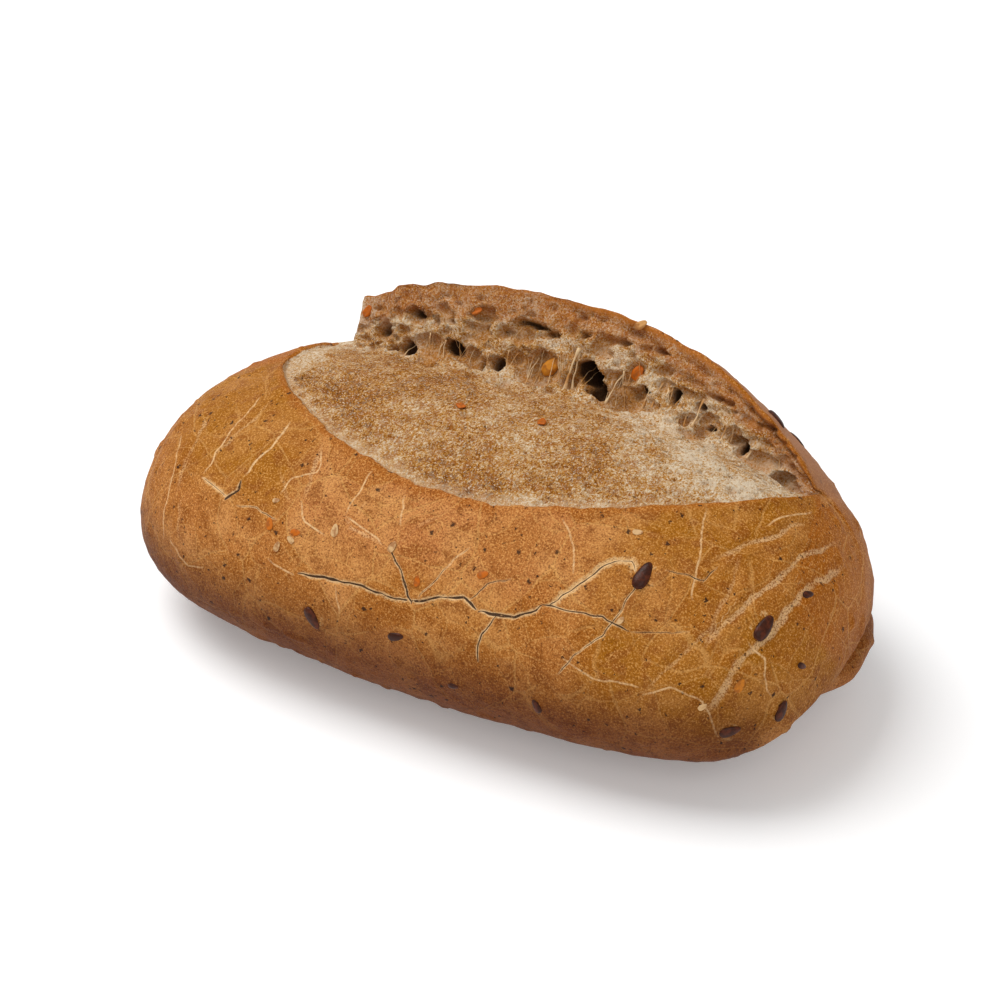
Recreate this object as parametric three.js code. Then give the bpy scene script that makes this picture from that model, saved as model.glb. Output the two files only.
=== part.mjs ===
// A multigrain bread roll: one baked piece, long and domed, with a flat underside. A single long score has burst
// open on top: the crumb has swollen up to fill the cut, and the crust behind it stands up as a torn ear.
// Millimetres, +Z up. X runs along the roll. Y runs across it, from the low edge of the cut towards the ear.
// The origin is the middle of the underside.
import * as THREE from "three";

// Driving sizes of the loaf itself.
const HALF_LENGTH = 65;
const HALF_WIDTH = 38.75;
const WIDEST_Z = 17.2; // height of the widest line above the table
const DOME_RISE = 29.2; // from the widest line up to the top of the dome
const BELLY_DROP = 19.3; // from the widest line down to where a round belly would end; the table cuts it off flat
const DOME_TILT = 0.08; // the dome is this share taller at the +X end and lower at the -X end
const ENDS_BOW = -5.1; // both ends bow this far towards -Y
const PLAN_POWER = 2.8; // 2 is an ellipse; more is fuller towards the ends
const SECTION_POWER = 2.2;
const BASE_ROUNDING = 1.0; // height over which the side rolls into the flat underside

// Driving sizes of the open cut.
const CUT_START = -47; // X of its blunt end
const CUT_WIDEST = 5;
const CUT_END = 52.5; // X of its pointed end
const CUT_END_RAMP = 0.6; // the cut's two ends rise to full depth over twice this length
const LOW_EDGE_REACH = 30; // how far the low crust edge lies from the cut's own line at the widest place
const EAR_Y = 21; // where the ear's crest runs over most of the cut
const EAR_HEIGHT = 13.4; // the crest's height over the dome
const EAR_BREAK = -41.9; // X where the ear ends in a torn face
const EAR_BREAK_RAMP = 0.7;
const EAR_FADE_START = -75; // the parabola of the crest's height falls to nothing at these two X values
const EAR_FADE_END = 53;
const CRUST_STEP = 0.8; // the crumb lies this far below the crust edge
const TEAR_DEPTH = 2.4; // and this much further at the foot of the ear
const FOOT_SHARE = 0.82; // the foot of the ear, as a share of the cut's width
const LEAST_CUT_ANGLE = THREE.MathUtils.degToRad(5);
const FLANK_END_ANGLE = THREE.MathUtils.degToRad(105); // where the lifted crust joins the loaf's far side

// Mesh lines: the columns round the section keep to the cut's edges, and the rows run along the roll.
const NEAR_CRUST_COLUMNS = 18;
const SLOPE_COLUMNS = 9;
const EAR_FACE_COLUMNS = 5;
const FAR_CRUST_COLUMNS = 16;
const COLUMNS = NEAR_CRUST_COLUMNS + SLOPE_COLUMNS + EAR_FACE_COLUMNS + FAR_CRUST_COLUMNS;
const ROWS = 60;

const { clamp, lerp, smoothstep } = THREE.MathUtils;

// Sine or cosine of a superellipse: the sign is kept, and the size is raised to 2 / power.
function rounded(value, power) {
  return Math.sign(value) * Math.abs(value) ** (2 / power);
}

// The section's size at x, as a share of the full section.
function fullness(x) {
  return Math.max(0, 1 - Math.abs(x / HALF_LENGTH) ** PLAN_POWER) ** (1 / PLAN_POWER);
}

function bow(x) {
  return ENDS_BOW * (x / HALF_LENGTH) ** 2;
}

// The plain loaf without its cut: the point at x whose angle from the top is given, positive towards +Y.
function loafPoint(x, angle) {
  const size = fullness(x);
  const up = Math.cos(angle);
  const height = up > 0 ? DOME_RISE * (1 + (DOME_TILT * x) / HALF_LENGTH) : BELLY_DROP;
  return {
    y: HALF_WIDTH * size * rounded(Math.sin(angle), SECTION_POWER) + bow(x),
    z: WIDEST_Z + height * size * rounded(up, SECTION_POWER),
  };
}

// The angle at which the dome has this y.
function angleAt(x, y) {
  const sine = clamp((y - bow(x)) / (HALF_WIDTH * fullness(x)), -0.999, 0.999);
  return Math.asin(rounded(sine, 4 / SECTION_POWER));
}

// The low crust edge in plan: two half ovals that meet at the cut's widest place.
function lowEdgeY(x) {
  const line = lerp(4, 9, (x - CUT_START) / (CUT_END - CUT_START));
  const left = x < CUT_WIDEST;
  const along = (x - CUT_WIDEST) / (left ? CUT_START - CUT_WIDEST : CUT_END - CUT_WIDEST);
  return line - LOW_EDGE_REACH * Math.max(0, 1 - along * along) ** (left ? 0.7 : 0.6);
}

// The ear's crest in plan: straight at first, then curving in to the cut's pointed end.
function crestY(x) {
  return EAR_Y - 12 * clamp((x + 10) / 62, 0, 1) ** 2.6;
}

// How far the ear's crest stands over the dome.
function earLift(x) {
  const share = x > 0 ? Math.max(0, 1 - (x / EAR_FADE_END) ** 2) ** 0.75 : 1 - (x / EAR_FADE_START) ** 2;
  return EAR_HEIGHT * share * smoothstep(x, EAR_BREAK - EAR_BREAK_RAMP, EAR_BREAK + EAR_BREAK_RAMP);
}

// The angles of the low edge, the ear's foot and the ear's crest at x. Past the cut's ends they keep their last value.
function cutAngles(x) {
  const at = clamp(x, CUT_START, CUT_END);
  const low = angleAt(at, lowEdgeY(at));
  const crest = Math.max(angleAt(at, crestY(at)), low + LEAST_CUT_ANGLE);
  return { low, crest, foot: lerp(low, crest, FOOT_SHARE) };
}

// How much of the full recess the cut has at x: none past its ends, and less where it is narrow.
function cutShare(x, { low, crest }) {
  const at = clamp(x, CUT_START, CUT_END);
  const within =
    smoothstep(x, CUT_START - CUT_END_RAMP, CUT_START + CUT_END_RAMP) *
    (1 - smoothstep(x, CUT_END - CUT_END_RAMP, CUT_END + CUT_END_RAMP));
  const width = loafPoint(at, crest).y - loafPoint(at, low).y;
  return within * clamp(width / 12, 0, 1);
}

// The flat underside: heights below the table are cut off, with a short rounded run into the side.
function standOnTable(z) {
  if (z > BASE_ROUNDING) return z;
  return z < -BASE_ROUNDING ? 0 : (z + BASE_ROUNDING) ** 2 / (4 * BASE_ROUNDING);
}

// The roll's surface: the point at x in a column counted round the section from the middle of the underside,
// up the near side, over the cut and down the far side.
function rollPoint(x, column) {
  const cut = cutAngles(x);
  const share = cutShare(x, cut);
  const tearDepth = TEAR_DEPTH * (1 - 0.8 * (1 - smoothstep(x, -44, -38)));
  const lift = earLift(x) * Math.min(1, share * 4);
  const slopeStart = NEAR_CRUST_COLUMNS;
  const faceStart = slopeStart + SLOPE_COLUMNS;
  const flankStart = faceStart + EAR_FACE_COLUMNS;
  let y, z;
  if (column < slopeStart) {
    ({ y, z } = loafPoint(x, lerp(-Math.PI, cut.low, column / NEAR_CRUST_COLUMNS)));
  } else if (column < faceStart) {
    const across = (column - slopeStart) / SLOPE_COLUMNS;
    ({ y, z } = loafPoint(x, lerp(cut.low, cut.foot, across)));
    z -= share * (CRUST_STEP * Math.min(1, across * SLOPE_COLUMNS) + tearDepth * across ** 3);
  } else if (column < flankStart) {
    const up = (column - faceStart) / EAR_FACE_COLUMNS;
    const foot = loafPoint(x, cut.foot);
    const crest = loafPoint(x, cut.crest);
    y = lerp(foot.y, crest.y, up ** 1.6);
    z = lerp(foot.z - share * (CRUST_STEP + tearDepth), crest.z + lift, up);
  } else {
    const angle = lerp(cut.crest, Math.PI, (column - flankStart) / FAR_CRUST_COLUMNS);
    const down = clamp((angle - cut.crest) / (FLANK_END_ANGLE - cut.crest), 0, 1);
    ({ y, z } = loafPoint(x, angle));
    z += lift * (1 - Math.sin((Math.PI / 2) * down) ** 1.3);
  }
  return new THREE.Vector3(x, y, standOnTable(z));
}

// Rows of the mesh along the roll, close together at its round ends, with one row on each side of the ear's torn
// face and of the cut's blunt end.
function rowPlaces() {
  const places = Array.from({ length: ROWS + 1 }, (_, row) =>
    HALF_LENGTH * rounded(Math.sin((row / ROWS - 0.5) * Math.PI), PLAN_POWER),
  );
  for (const [step, ramp] of [[CUT_START, CUT_END_RAMP], [EAR_BREAK, EAR_BREAK_RAMP]]) {
    const after = places.findIndex((x) => x > step);
    places[after - 1] = step - ramp;
    places[after] = step + ramp;
  }
  return places;
}

// A sphere's mesh, with its poles at the roll's two ends, moved onto the roll's surface.
function rollGeometry() {
  const geometry = new THREE.SphereGeometry(1, COLUMNS, ROWS);
  const { position, uv } = geometry.attributes;
  const places = rowPlaces();
  for (let i = 0; i < position.count; i++) {
    const row = Math.round((1 - uv.getY(i)) * ROWS);
    const column = Math.round(uv.getX(i) * COLUMNS);
    const point = rollPoint(places[row], column % COLUMNS);
    position.setXYZ(i, point.x, point.y, point.z);
  }
  geometry.deleteAttribute("uv");
  geometry.computeVertexNormals();
  return geometry;
}

const crust = new THREE.MeshStandardMaterial({ color: 0xb9742f, roughness: 0.75, metalness: 0 });
const roll = new THREE.Mesh(rollGeometry(), crust);
roll.name = "bread_roll";

export default new THREE.Group().add(roll);
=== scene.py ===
# %% [markdown]
# # A multigrain bread roll
# A bread roll is one baked piece, but it shows two very different surfaces. The crust is a thin,
# dry, stretched skin. The crumb is the torn inside that burst out of the score on top. This lesson
# works out one closed surface with numpy, presses cracks and bubbles into it, and then tells one
# material where it is crust and where it is crumb.

# %% The frame
import itertools
import math

import bpy
import numpy as np
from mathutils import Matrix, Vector


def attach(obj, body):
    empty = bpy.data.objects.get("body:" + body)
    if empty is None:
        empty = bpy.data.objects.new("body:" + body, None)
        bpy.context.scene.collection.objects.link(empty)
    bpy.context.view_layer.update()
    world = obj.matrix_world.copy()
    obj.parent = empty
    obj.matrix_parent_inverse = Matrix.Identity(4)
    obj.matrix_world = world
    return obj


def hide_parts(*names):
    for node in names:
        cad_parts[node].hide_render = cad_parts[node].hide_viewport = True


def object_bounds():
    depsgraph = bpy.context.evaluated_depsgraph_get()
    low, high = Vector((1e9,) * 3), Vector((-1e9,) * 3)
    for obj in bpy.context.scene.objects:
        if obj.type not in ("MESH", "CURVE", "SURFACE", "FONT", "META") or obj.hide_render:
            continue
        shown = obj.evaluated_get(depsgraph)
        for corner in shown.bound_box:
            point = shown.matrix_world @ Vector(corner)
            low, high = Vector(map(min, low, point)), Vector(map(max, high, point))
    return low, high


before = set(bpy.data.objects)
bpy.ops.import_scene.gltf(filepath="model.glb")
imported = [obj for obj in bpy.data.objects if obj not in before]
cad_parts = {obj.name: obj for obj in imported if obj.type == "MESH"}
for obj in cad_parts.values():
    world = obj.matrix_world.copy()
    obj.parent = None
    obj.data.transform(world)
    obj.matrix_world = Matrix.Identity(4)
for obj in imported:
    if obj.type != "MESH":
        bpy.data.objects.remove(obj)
cad_box = [list(corner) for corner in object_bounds()]
MM = 0.001
print("the roll's box in mm:", (np.array(cad_box) / MM).round(1).tolist())

# %% [markdown]
# ## The plain loaf
# Dough that is rolled into a short log and proved has a full, blunt plan and a domed section that
# the tray flattens. It could be sculpted from a sphere, but a formula keeps it smooth and easy to
# change. Every section across the roll is the same rounded curve, made smaller towards the ends,
# and the length comes from the frame.

# %% Sizes of the loaf, in millimetres
HALF_LENGTH = (cad_box[1][0] - cad_box[0][0]) / 2 / MM
HALF_WIDTH = 38.75
WIDEST_Z = 17.2
DOME_RISE = 29.2
BELLY_DROP = 19.3
DOME_TILT = 0.08
ENDS_BOW = -5.1
PLAN_POWER = 2.8
SECTION_POWER = 2.2
BASE_ROUNDING = 1.0
DEGREE = np.pi / 180
print(f"the loaf is {2 * HALF_LENGTH:.0f} mm long and {2 * HALF_WIDTH:.1f} mm wide")


# %% The loaf's surface
def ramp(start, end, x):
    """0 before start, 1 after end, and the smooth curve 3t² - 2t³ between them."""
    t = np.clip((x - start) / (end - start), 0, 1)
    return t * t * (3 - 2 * t)


def rounded(value, power):
    """The value's size raised to 2 / power, with its sign kept."""
    return np.sign(value) * np.abs(value) ** (2 / power)


def fullness(x):
    """A section's size as a share of the full one: (1 - |x / half length|ᵖ)¹ᐟᵖ."""
    return np.clip(1 - np.abs(x / HALF_LENGTH) ** PLAN_POWER, 0, 1) ** (1 / PLAN_POWER)


def bow(x):
    """Both ends bow towards -Y with the square of their distance from the middle."""
    return ENDS_BOW * (x / HALF_LENGTH) ** 2


def loaf(x, angle):
    """Across and up at x, for an angle from the top: sine and cosine, each rounded to the section's
    power."""
    up = np.cos(angle)
    height = np.where(up > 0, DOME_RISE * (1 + DOME_TILT * x / HALF_LENGTH), BELLY_DROP)
    y = HALF_WIDTH * fullness(x) * rounded(np.sin(angle), SECTION_POWER) + bow(x)
    z = WIDEST_Z + height * fullness(x) * rounded(up, SECTION_POWER)
    return y, z


print(f"the top of the dome lies at {loaf(0, 0)[1]:.1f} mm")


# %% Finding an angle, and standing on the table
def angle_at(x, y):
    """The inverse of the section's rounded sine: the angle on the dome that has this y."""
    sine = np.clip((y - bow(x)) / (HALF_WIDTH * fullness(x)), -0.999, 0.999)
    return np.arcsin(rounded(sine, 4 / SECTION_POWER))


def stand(z):
    """Flat below the table, as it is above it, with a parabola over the short rounding between the
    two."""
    run = (np.clip(z, -BASE_ROUNDING, BASE_ROUNDING) + BASE_ROUNDING) ** 2 / (4 * BASE_ROUNDING)
    return np.where(z > BASE_ROUNDING, z, run)


print(f"30 mm to the side is {angle_at(0, 30) / DEGREE:.0f} degrees from the top")


# %% [markdown]
# ## The open cut
# The baker scores the dough once along its top. In the oven the cut opens, the dough under it
# swells up as a rough slope, and the skin on the far side lifts as an ear. Three lines in plan
# describe all of this: the low crust edge, the foot of the ear and the ear's crest. Grid lines of
# the mesh follow the three lines, so each edge stays sharp.

# %% Sizes of the cut, in millimetres
CUT_START = -47.0
CUT_WIDEST = 5.0
CUT_END = 52.5
CUT_END_RAMP = 0.6
LOW_EDGE_Y = 4
LOW_EDGE_SLANT = 5
LOW_EDGE_REACH = 30.0
EAR_Y = 21.0
CREST_BEND = 12
EAR_HEIGHT = 13.4
EAR_BREAK = -41.9
EAR_BREAK_RAMP = 0.5
EAR_FADE_START = -75.0
EAR_FADE_END = 53.0
CRUST_STEP = 0.9
TEAR_DEPTH = 2.4
FOOT_SHARE = 0.82
FLANK_END = 105 * DEGREE
LIFT_FALL = 1.05
EDGE_STRAY = 0.4
PAST_LOW = -28 * DEGREE
PAST_CREST = 38 * DEGREE
print(f"the cut is {CUT_END - CUT_START:.1f} mm long")


# %% The cut's three lines
def low_edge_y(x):
    """Two half ovals that meet at the cut's widest place, laid along a line that runs slightly
    across the roll."""
    t = np.clip((x - CUT_START) / (CUT_END - CUT_START), 0, 1)
    left = x < CUT_WIDEST
    along = (x - CUT_WIDEST) / (np.where(left, CUT_START, CUT_END) - CUT_WIDEST)
    oval = np.clip(1 - along**2, 0, 1) ** np.where(left, 0.7, 0.6)
    return LOW_EDGE_Y + LOW_EDGE_SLANT * t - LOW_EDGE_REACH * oval


def crest_y(x):
    """Straight up to x = -10, then curving in to the cut's pointed end with the power 2.6."""
    return EAR_Y - CREST_BEND * np.clip((x + 10) / 62, 0, 1) ** 2.6


def ear_lift(x):
    """The crest's height over the dome: an arch that ends at the broken face on one side and fades
    on the other."""
    falling = np.clip(1 - (x / EAR_FADE_END) ** 2, 0, 1) ** 0.75
    arch = np.where(x > 0, falling, 1 - (x / EAR_FADE_START) ** 2)
    chipped = 1 - 0.09 * ramp(-34, -36, x) * ramp(-44, -42, x)
    whole = ramp(EAR_BREAK - EAR_BREAK_RAMP, EAR_BREAK + EAR_BREAK_RAMP, x)
    return EAR_HEIGHT * np.clip(arch, 0, 1) * chipped * whole


print(f"the cut's greatest width: {crest_y(CUT_WIDEST) - low_edge_y(CUT_WIDEST):.1f} mm")


# %% Angles of the cut's lines
def wander(x, seed):
    """A line's small strays to either side: waves of 17, 7 and 2.9 mm that don't keep step."""
    slow = 0.45 * np.sin(x / 2.7 + seed)
    quick = 0.35 * np.sin(x / 1.1 + 2 * seed)
    return slow + quick + 0.2 * np.sin(x / 0.46 + 3 * seed)


def cut_angles(x):
    """The angles of the low edge and the crest at x. Past the cut's ends they open out over the
    plain loaf."""
    at = np.clip(x, CUT_START, CUT_END)
    low = angle_at(at, low_edge_y(at) + EDGE_STRAY * wander(at, 1.0))
    crest = np.maximum(angle_at(at, crest_y(at)), low + 5 * DEGREE)
    past = ramp(CUT_END, CUT_END + 9, x)
    return low + past * (PAST_LOW - low), crest + past * (PAST_CREST - crest)


print(f"the low edge lies up to {-cut_angles(CUT_WIDEST)[0] / DEGREE:.0f} degrees from the top")


# %% [markdown]
# ## A grid of lines over the roll
# The surface is one grid: rows stand across the roll, and columns run along it from the middle of
# the underside, up the near side, over the cut and down the far side. Rows lie at even steps of the
# outline, so that the round ends don't get long faces. Most columns go where there is something to
# see, and few go to the underside.

# %% Rows and columns
ROWS = 322
UNDER_COLUMNS, NEAR_COLUMNS, SLOPE_COLUMNS, FACE_COLUMNS, FAR_COLUMNS = 30, 94, 84, 42, 50
LOW_EDGE = UNDER_COLUMNS + NEAR_COLUMNS
FOOT = LOW_EDGE + SLOPE_COLUMNS
CREST = FOOT + FACE_COLUMNS
COLUMNS = CREST + FAR_COLUMNS
UNDER_SHARE = 0.44
print("columns over the cut:", CREST - LOW_EDGE)


# %% Even rows, and a soft blur
def row_places():
    """Even steps of the plan outline's length: the outline is summed on a fine scale and read back
    evenly."""
    x = HALF_LENGTH * np.sin(np.linspace(-np.pi / 2, np.pi / 2, 20001))
    steps = np.hypot(np.diff(x), 0.7 * HALF_WIDTH * np.diff(fullness(x)))
    closeness = 1 + 0.5 * ramp(CUT_START - 4, CUT_START, x[1:]) * ramp(CUT_END + 4, CUT_END, x[1:])
    length = np.concatenate([[0], np.cumsum(steps * closeness)])
    return np.interp(np.linspace(0, length[-1], ROWS + 2)[1:-1], length, x)


def blur(values, width, axis):
    """A running mean with bell-shaped weights over this many lines to each side, the ends held."""
    reach = int(3 * width)
    weights = np.exp(-0.5 * (np.arange(-reach, reach + 1) / width) ** 2)
    padding = [(0, 0)] * values.ndim
    padding[axis] = (reach, reach)
    padded = np.pad(values, padding, mode="edge")
    return np.apply_along_axis(np.convolve, axis, padded, weights / weights.sum(), "valid")


# %% The angles and shares of every row
x_rows = row_places()[:, None]
low_angle, crest_angle = cut_angles(x_rows)
foot_angle = low_angle + FOOT_SHARE * (crest_angle - low_angle)
calm_angle = blur(low_angle, 9, 0)
within = ramp(CUT_START - CUT_END_RAMP, CUT_START + CUT_END_RAMP, x_rows)
within = within * ramp(CUT_END + CUT_END_RAMP, CUT_END - CUT_END_RAMP, x_rows)
cut_width = loaf(x_rows, crest_angle)[0] - loaf(x_rows, low_angle)[0]
share = within * np.clip(cut_width / 12, 0, 1)
tear = TEAR_DEPTH * (1 - 0.8 * ramp(-38, -44, x_rows))
print(f"rows {ROWS}, columns {COLUMNS}, faces {ROWS * COLUMNS}")


# %% The four strips of the section
def near_crust():
    """From the middle of the underside to the low edge: widely spaced below, then even, and the
    last lines lean to the edge with the sixth power of their share."""
    count = UNDER_COLUMNS + NEAR_COLUMNS
    t = np.arange(count) / count
    under = UNDER_COLUMNS / count
    upper = UNDER_SHARE + (1 - UNDER_SHARE) * (t - under) / (1 - under)
    even = np.where(t < under, UNDER_SHARE * t / under, upper)
    return loaf(x_rows, -np.pi + (calm_angle + np.pi) * even + (low_angle - calm_angle) * t**6)


def crumb_slope():
    """The dome between the low edge and the foot, dropped by the crust's step and by the tear's
    depth times t³."""
    t = np.arange(SLOPE_COLUMNS) / SLOPE_COLUMNS
    y, z = loaf(x_rows, low_angle + (foot_angle - low_angle) * t)
    return y, z - share * (CRUST_STEP * np.clip(t * 36, 0, 1) + tear * t**3)


# %% The ear's two sides
def ear_face():
    """A straight line from the foot up to the crest, hollowed by taking its way across to the power
    1.6."""
    t = np.arange(FACE_COLUMNS) / FACE_COLUMNS
    y_foot, z_foot = loaf(x_rows, foot_angle)
    y_top, z_top = loaf(x_rows, crest_angle)
    z_top = z_top + ear_lift(x_rows) * within
    z_foot = z_foot - share * (CRUST_STEP + tear)
    return y_foot + (y_top - y_foot) * t**1.6, z_foot + (z_top - z_foot) * t


def far_crust():
    """The loaf from the crest to the underside, lifted by 1 - sinᵖ of the share of the way down to
    the flank's end."""
    t = np.arange(FAR_COLUMNS) / FAR_COLUMNS
    angle = crest_angle + (np.pi - crest_angle) * t**1.15
    y, z = loaf(x_rows, angle)
    down = np.clip((angle - crest_angle) / (FLANK_END - crest_angle), 0, 1)
    return y, z + ear_lift(x_rows) * within * (1 - np.sin(np.pi / 2 * down) ** LIFT_FALL)


# %% The strips as one grid
strips = [near_crust(), crumb_slope(), ear_face(), far_crust()]
across = np.concatenate([y for y, z in strips], 1)
up = np.concatenate([z for y, z in strips], 1)
inner = slice(LOW_EDGE + 3, CREST - 1)
soft_foot = np.exp(-((np.arange(COLUMNS)[inner] - FOOT) / 20.0) ** 2)
for values in (across, up):
    smooth = blur(values, 10, 1)
    values[:, inner] += soft_foot * (smooth - values)[:, inner]
base = np.stack([x_rows + 0 * across, across, stand(up)], -1)
print("grid of points:", base.shape)


# %% Normals
def outward(points):
    """Unit normals: the cross product of the differences along columns and along rows."""
    wrapped = np.concatenate([points[:, -1:], points, points[:, :1]], 1)
    round_it = (wrapped[:, 2:] - wrapped[:, :-2]) / 2
    along = np.gradient(points, axis=0)
    normal = np.cross(along, round_it)
    return normal / np.maximum(np.linalg.norm(normal, axis=-1, keepdims=True), 1e-12)


normal = outward(base)
from_middle = base - [0, 0, 20]
print(f"normals that point out of the loaf: {np.mean(np.sum(normal * from_middle, -1) > 0):.3f}")

# %% [markdown]
# ## Unevenness
# No dough is as even as a formula. Value noise, which blends random numbers from a lattice, gives
# swellings of any size. It is worked out for all points at once, and each use names the size of its
# swellings in millimetres.


# %% Value noise
def swell(points, size, seed):
    """Random numbers on a lattice of this cell size, blended between eight corners with 3t² - 2t³;
    from -1 to 1."""
    table = np.random.default_rng(seed).uniform(-1, 1, (32, 32, 32))
    place = points / size + 64
    low = np.floor(place).astype(int)
    t = place - low
    t = t * t * (3 - 2 * t)
    total = np.zeros(points.shape[:-1])
    for corner in itertools.product((0, 1), repeat=3):
        index = (low + corner) % 32
        weight = np.prod(np.where(corner, t, 1 - t), axis=-1)
        total += weight * table[index[..., 0], index[..., 1], index[..., 2]]
    return total


print("a few swells:", swell(base[::80, 150], 5.0, 1).round(2))


# %% Bent coordinates, and where the crumb lies
def warp(points, size, amount, seed):
    """The points, each moved by up to this amount by three swells of this size."""
    return points + amount * np.stack([swell(points, size, seed + k) for k in range(3)], -1)


column = np.arange(COLUMNS)[None, :] + 0 * x_rows
is_crumb = ((column >= LOW_EDGE) & (column < CREST)).astype(float) * within
off_table = ramp(0.3, 5, base[..., 2])
print("share of the grid in the cut:", round(float(is_crumb.mean()), 3))

# %% [markdown]
# ## The tucked end
# The dough's loose end was tucked under at one end of the roll. It leaves a crease across that end,
# a soft lobe below the crease, and a bottom edge that is drawn in.

# %% Crease: across the roll and up
CREASE_Y = [-32, -20, -12, -4, 4.7, 14, 24]
CREASE_Z = [6, 14, 16, 16, 17.5, 16, 13]
above_crease = base[..., 2] - np.interp(base[..., 1], CREASE_Y, CREASE_Z)
tucked = ramp(54, 61, base[..., 0])
front_side = ramp(-1, -9, base[..., 1])
lobe = 1.1 * np.exp(-(((above_crease + 3) / 2.2) ** 2)) * (1 - front_side)
drawn_in = 2.6 * front_side * ramp(0.8, -3, above_crease)
drawn_in = drawn_in + 2.0 * (1 - front_side) * ramp(-4, -11, above_crease)
crease = 1.3 * np.exp(-((above_crease / 0.9) ** 2))
near_foot = 0.9 * ramp(20, 45, base[..., 0]) * ramp(12, 3, base[..., 2]) * (base[..., 1] < 0)
tuck = tucked * (lobe - drawn_in - crease) - near_foot * (1 - tucked)
print(f"the tuck moves the surface by {tuck.min():.1f} to {tuck.max():.1f} mm")

# %% [markdown]
# ## Cracks and stretch marks
# As the roll cools, its crust shrinks and cracks. A crack is a dark line with pale lips. A stretch
# mark is only pale: there the skin was pulled thin in the oven. Both are laid out as a few points
# on the crust, each a place along the roll and an angle from its top. Each point of the grid then
# keeps how far to one side of a crack it lies. This signed distance passes through zero exactly on
# the crack, so a material can draw a line finer than a face. Stretch marks keep theirs in the same
# way, with a strength that fades at both ends.

# %% Linseeds: place along the roll, angle from its top, length, turn in degrees
LINSEEDS = [
    (38, -41, 5.0, 84), (57, -42, 4.8, 78), (62, -84, 3.8, 70), (56, -90, 3.6, 15),
    (0, -82, 3.0, 20), (-16, -85, 4.2, -55), (41, 27, 4.8, -25), (11, -93, 2.0, 10),
    (26, -90, 2.6, 120), (60, -18, 2.4, 50), (63, -55, 2.0, 0),
]
print("linseeds placed by hand:", len(LINSEEDS))

# %% Lines on the crust: the half width and the strength of the pale lips, then the points
CRACKS = [
    [
        (0.2, 1.0, [(-20, -72), (-15, -70), (-9, -70), (-1, -71), (2, -70)]),
        (0.18, 1.0, [(1.2, -70.3), (7, -66), (11, -64), (14, -67)]),
        (0.18, 1.0, [(13.4, -66.5), (20, -66), (24, -59)]),
        (0.1, 0.4, [(24, -59), (29, -58), (34, -57), (39, -59)]),
        (0.05, 0.9, [(-45, -49), (-41, -51), (-37, -54)]),
        (0.07, 0.2, [(41, -37), (44, -35), (47, -35), (48, -28)]),
    ],
    [
        (0.19, 0.5, [(2.1, -71), (1, -67), (-1, -62), (-4, -57)]),
        (0.06, 0.2, [(12, -64), (14, -58), (18, -54)]),
        (0.06, 0.4, [(38, -43), (37, -50), (35, -62), (32, -70), (29, -79)]),
        (0.36, 0.9, [(-37.6, -55), (-36.6, -52), (-35.8, -47)]),
        (0.03, 0.5, [(-35.5, -46), (-35, -41), (-33.6, -34), (-33.2, -23)]),
    ],
    [
        (0.05, 0.3, [(3, -68), (6, -59), (9, -49)]),
        (0.12, 0.5, [(17, -66), (15, -73), (15, -83)]),
        (0.05, 0.3, [(-35, -56), (-31, -55), (-26, -57)]),
        (0.08, 1.3, [(25, -59), (27, -55), (30, -48), (33, -40), (35, -38), (37, -41)]),
        (0.04, 0.1, [(39, -59), (43, -57), (48, -53)]),
    ],
]
# Hairlines: stretched skin that hasn't opened, so they are only pale
HAIRLINES = [
    [
        [(-54.7, -32), (-51.9, -47), (-51.2, -65), (-50.2, -81)],
        [(-24.3, -31), (-22.9, -39), (-26.5, -43), (-27.2, -49)],
        [(50.7, -7), (52.7, 2), (54.3, 12)],
        [(55.9, -50), (59, -55), (60.8, -75)],
        [(-40, 60), (-36, 75), (-38, 95)],
    ],
    [
        [(-13.1, -34), (-13.6, -42), (-14.3, -50)],
        [(41.8, -13), (42.4, -18), (44.4, -27), (46.6, -43)],
        [(-48.9, -78), (-43.3, -84), (-39.2, -82)],
        [(21.9, -33), (25.9, -40), (27.5, -48)],
        [(-12.3, -72), (-11, -81)],
        [(42.8, -79), (47, -74), (51.9, -78), (54.7, -93)],
        [(-8, 62), (-4, 80), (-9, 100)],
    ],
    [
        [(-43.3, -13), (-42.5, -18), (-43.6, -33), (-44.6, -48)],
        [(-14.3, -50), (-10, -53), (-5.7, -56)],
        [(-26, -70), (-24.3, -71), (-20, -73)],
        [(-23, -49), (-20.6, -55), (-16, -58)],
        [(29.5, -73), (34.8, -77), (42.8, -76)],
        [(-5.7, -39), (-3.9, -49)],
        [(22, 60), (20, 78), (26, 96)],
    ],
]
print("cracks and hairlines:", sum(map(len, CRACKS + HAIRLINES)))

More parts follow.
